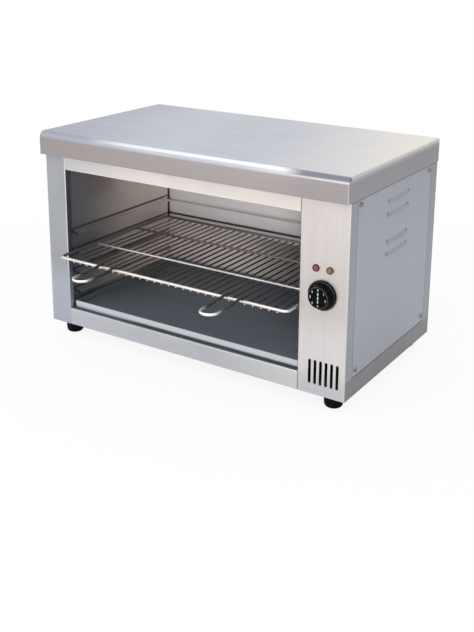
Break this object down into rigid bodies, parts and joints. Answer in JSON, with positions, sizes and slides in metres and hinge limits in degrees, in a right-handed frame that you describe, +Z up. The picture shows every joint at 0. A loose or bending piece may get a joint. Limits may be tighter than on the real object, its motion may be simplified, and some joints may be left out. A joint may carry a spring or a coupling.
{
  "type": "cheese melter",
  "caption": "Open-fronted electric cheese melter with roof elements, a wire rack on pressed runners, a crumb tray, and a side panel with a knob and lamps.",
  "frame": {"origin": "on the surface that the feet stand on, under the middle of the whole outline", "axes": "+X to the right seen from the front, -Y to the front, +Z up"},
  "size_m": [0.6046, 0.462, 0.3793],
  "materials": {
    "stainless": "brushed stainless steel",
    "lining": "plain stainless steel lining",
    "rack_wire": "polished wire",
    "tray": "dark satin coating",
    "wool": "mineral wool slab",
    "sheath": "oxidised sheath",
    "ceramic": null,
    "fastener": "bright zinc or stainless",
    "brass": "machined",
    "black_plastic": "glossy",
    "housing": "matt moulding",
    "terminal_plastic": "matt moulding",
    "red_lens": "translucent red",
    "amber_lens": "translucent amber",
    "bezel": "bright ring",
    "lead_sleeve": "silicone sleeve",
    "rubber": "black rubber"
  },
  "bodies": {
    "cabinet": {"top_cover": "stainless", "left_end_frame": "stainless", "right_end_frame": "stainless", "top_rail": "stainless", "bottom_rail": "stainless", "base_pan": "stainless", "rear_panel": "stainless", "left_side_cover": "stainless", "right_side_cover": "stainless", "side_cover_screws": "fastener", "rear_panel_screws": "fastener", "top_cover_screws": "fastener", "left_liner": "lining", "right_liner": "lining", "rear_liner": "lining", "roof_reflector": "lining", "cavity_floor": "lining", "left_insulation": "wool", "right_insulation": "wool", "rear_insulation": "wool", "roof_insulation": "wool", "front_heating_element": "sheath", "rear_heating_element": "sheath", "element_bushes": "fastener", "element_nuts": "fastener", "element_terminals": "ceramic", "element_hangers": "lining", "regulator_body": "housing", "regulator_screws": "fastener", "red_lamp_lens": "red_lens", "amber_lamp_lens": "amber_lens", "lamp_bezels": "bezel", "lamp_bodies": "housing", "lamp_clips": "fastener", "terminal_block": "terminal_plastic", "earth_stud": "brass", "earth_nut": "brass", "internal_leads": "lead_sleeve", "cable_gland": "housing", "gland_locknut": "housing", "rubber_feet": "rubber", "foot_screws": "fastener", "foot_nuts": "fastener"},
    "rack": {"wire_rack": "rack_wire", "left_rack_handle": "rack_wire", "right_rack_handle": "rack_wire"},
    "tray": {"crumb_tray": "tray"},
    "knob": {"control_knob": "black_plastic", "regulator_spindle": "fastener"}
  },
  "joints": [
    {"name": "rack_slide", "type": "slide", "parent": "cabinet", "child": "rack", "axis": [0, -1, 0], "range_m": [-0.015, 0.2]},
    {"name": "tray_slide", "type": "slide", "parent": "cabinet", "child": "tray", "axis": [0, -1, 0], "range_m": [0, 0.25]},
    {"name": "knob_turn", "type": "hinge", "parent": "cabinet", "child": "knob", "pos_m": [0.2574, -0.12097, 0.1895], "axis": [0, 1, 0], "range_deg": [0, 270]}
  ]
}
